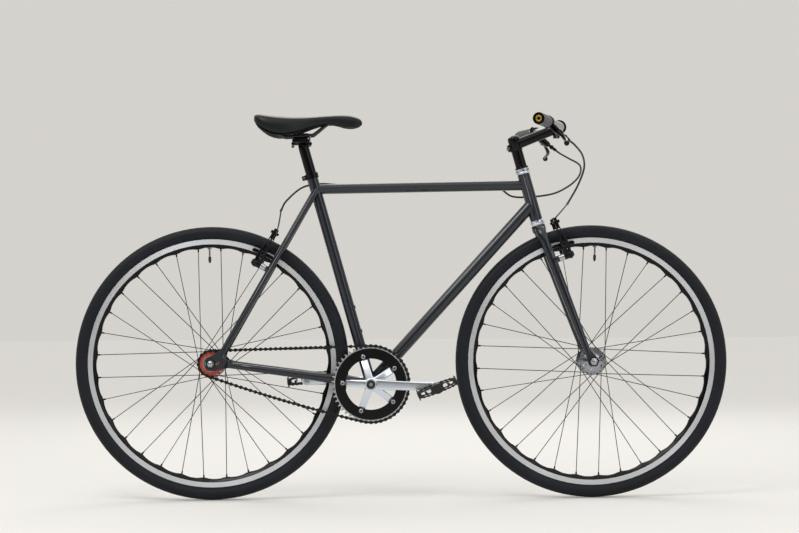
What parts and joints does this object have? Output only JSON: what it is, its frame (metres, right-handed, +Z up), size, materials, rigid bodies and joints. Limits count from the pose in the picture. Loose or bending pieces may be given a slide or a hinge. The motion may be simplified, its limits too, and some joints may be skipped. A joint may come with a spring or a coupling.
{
  "type": "fixed gear bicycle",
  "caption": "Diamond-frame city bicycle with a flat bar, high-flange wheels, a single-speed fixed chain drive, two rim brakes and a padded saddle.",
  "frame": {"origin": "on the ground, halfway between the axles, in the middle plane", "axes": "+X forward, +Y to the rider's left, +Z up; the chain is on the -Y side"},
  "size_m": [1.665, 0.59, 0.978],
  "materials": {
    "frame_paint": "gloss charcoal paint",
    "tyre": "matt black rubber",
    "rim_alloy": "machined brake tracks",
    "polished_alloy": "polished",
    "plated_steel": "bright plating",
    "black_alloy": "satin black",
    "silver_paint": "satin silver",
    "red_steel": "red orange, metallic",
    "chain_steel": "blackened steel",
    "grip_rubber": "matt dark grey rubber",
    "black_plastic": "matt black",
    "saddle_cover": "matt black cover over padding"
  },
  "bodies": {
    "frame": {"head_tube": "frame_paint", "top_tube": "frame_paint", "down_tube": "frame_paint", "seat_tube": "frame_paint", "bottom_bracket_shell": "frame_paint", "chainstay_right": "frame_paint", "chainstay_left": "frame_paint", "seatstay_right": "frame_paint", "seatstay_left": "frame_paint", "seatstay_bridge": "frame_paint", "seat_clamp": "black_alloy", "headset_upper_cup": "polished_alloy", "headset_lower_cup": "polished_alloy", "bb_cup_right": "plated_steel", "bb_cup_left": "plated_steel", "rear_axle": "plated_steel", "rear_axle_nut_right": "plated_steel", "rear_axle_nut_left": "plated_steel", "rear_brake_housing": "black_plastic", "rear_brake_loop": "black_plastic", "chain": "chain_steel"},
    "steering": {"fork_steerer": "frame_paint", "fork_blade_right": "frame_paint", "fork_blade_left": "frame_paint", "stem_spacers": "black_alloy", "stem": "black_alloy", "handlebar": "silver_paint", "grip_right": "grip_rubber", "grip_left": "grip_rubber", "lever_bracket_right": "black_alloy", "lever_bracket_left": "black_alloy", "front_brake_housing": "black_plastic", "front_axle": "plated_steel", "front_axle_nut_right": "plated_steel", "front_axle_nut_left": "plated_steel"},
    "lever_right": {"lever_right": "black_alloy"},
    "lever_left": {"lever_left": "black_alloy"},
    "front_wheel": {"front_tyre": "tyre", "front_rim": "rim_alloy", "front_hub": "polished_alloy"},
    "rear_wheel": {"rear_tyre": "tyre", "rear_rim": "rim_alloy", "rear_hub": "polished_alloy", "cog": "red_steel", "lockring": "plated_steel"},
    "crankset": {"crank_right": "polished_alloy", "crank_left": "polished_alloy", "chainring": "black_alloy", "bb_spindle": "plated_steel", "pedal_spindle_right": "plated_steel", "pedal_spindle_left": "plated_steel"},
    "pedal_right": {"pedal_right": "black_plastic"},
    "pedal_left": {"pedal_left": "black_plastic"},
    "front_brake_right": {"front_brake_arm_right": "black_alloy"},
    "front_brake_left": {"front_brake_arm_left": "black_alloy"},
    "rear_brake_right": {"rear_brake_arm_right": "black_alloy"},
    "rear_brake_left": {"rear_brake_arm_left": "black_alloy"},
    "seatpost": {"seatpost": "black_alloy", "saddle": "saddle_cover", "saddle_rails": "silver_paint"}
  },
  "joints": [
    {"name": "steering_hinge", "type": "hinge", "parent": "frame", "child": "steering", "pos_m": [0.34648, 0, 0.70946], "axis": [-0.2672, 0, 0.9636], "range_deg": [-70, 70], "deforming": ["rear_brake_loop"]},
    {"name": "front_wheel_spin", "type": "hinge", "parent": "steering", "child": "front_wheel", "pos_m": [0.4845, 0, 0.348], "axis": [0, 1, 0], "continuous": true},
    {"name": "rear_wheel_spin", "type": "hinge", "parent": "frame", "child": "rear_wheel", "pos_m": [-0.4845, 0, 0.348], "axis": [0, 1, 0], "continuous": true, "deforming": ["chain"]},
    {"name": "crank_spin", "type": "hinge", "parent": "frame", "child": "crankset", "pos_m": [-0.08053, 0, 0.2937], "axis": [0, 1, 0], "continuous": true},
    {"name": "pedal_right_spin", "type": "hinge", "parent": "crankset", "child": "pedal_right", "pos_m": [0.08431, -0.0635, 0.2865], "axis": [0, 1, 0], "continuous": true},
    {"name": "pedal_left_spin", "type": "hinge", "parent": "crankset", "child": "pedal_left", "pos_m": [-0.24538, 0.0635, 0.3009], "axis": [0, 1, 0], "continuous": true},
    {"name": "seat_height", "type": "slide", "parent": "frame", "child": "seatpost", "axis": [-0.2689, 0, 0.9632], "range_m": [-0.06, 0.05]},
    {"name": "lever_right_squeeze", "type": "hinge", "parent": "steering", "child": "lever_right", "pos_m": [0.38285, -0.19598, 0.92298], "axis": [-0.6556, 0.2004, -0.7281], "range_deg": [0, 25], "stiffness_Nm_per_rad": 1.5, "springref_deg": -17.19},
    {"name": "lever_left_squeeze", "type": "hinge", "parent": "steering", "child": "lever_left", "pos_m": [0.38285, 0.19598, 0.92298], "axis": [0.6556, 0.2004, 0.7281], "range_deg": [0, 25], "stiffness_Nm_per_rad": 1.5, "springref_deg": -17.19},
    {"name": "front_brake_right_close", "type": "hinge", "parent": "steering", "child": "front_brake_right", "pos_m": [0.42397, -0.04, 0.61893], "axis": [-0.9365, 0, -0.3506], "range_deg": [0, 3.5], "deforming": ["front_brake_housing"]},
    {"name": "front_brake_left_close", "type": "hinge", "parent": "steering", "child": "front_brake_left", "pos_m": [0.42397, 0.04, 0.61893], "axis": [0.9365, 0, 0.3506], "range_deg": [0, 3.5]},
    {"name": "rear_brake_right_close", "type": "hinge", "parent": "frame", "child": "rear_brake_right", "pos_m": [-0.3685, -0.04, 0.6014], "axis": [-0.8666, 0, 0.4989], "range_deg": [0, 3.5]},
    {"name": "rear_brake_left_close", "type": "hinge", "parent": "frame", "child": "rear_brake_left", "pos_m": [-0.3685, 0.04, 0.6014], "axis": [0.8666, 0, -0.4989], "range_deg": [0, 3.5], "deforming": ["rear_brake_housing"]}
  ],
  "couplings": [
    {"joint": "crank_spin", "follows": "rear_wheel_spin", "ratio": 0.33333},
    {"joint": "front_brake_right_close", "follows": "lever_right_squeeze", "ratio": 0.136},
    {"joint": "front_brake_left_close", "follows": "lever_right_squeeze", "ratio": 0.136},
    {"joint": "rear_brake_right_close", "follows": "lever_left_squeeze", "ratio": 0.136},
    {"joint": "rear_brake_left_close", "follows": "lever_left_squeeze", "ratio": 0.136}
  ]
}
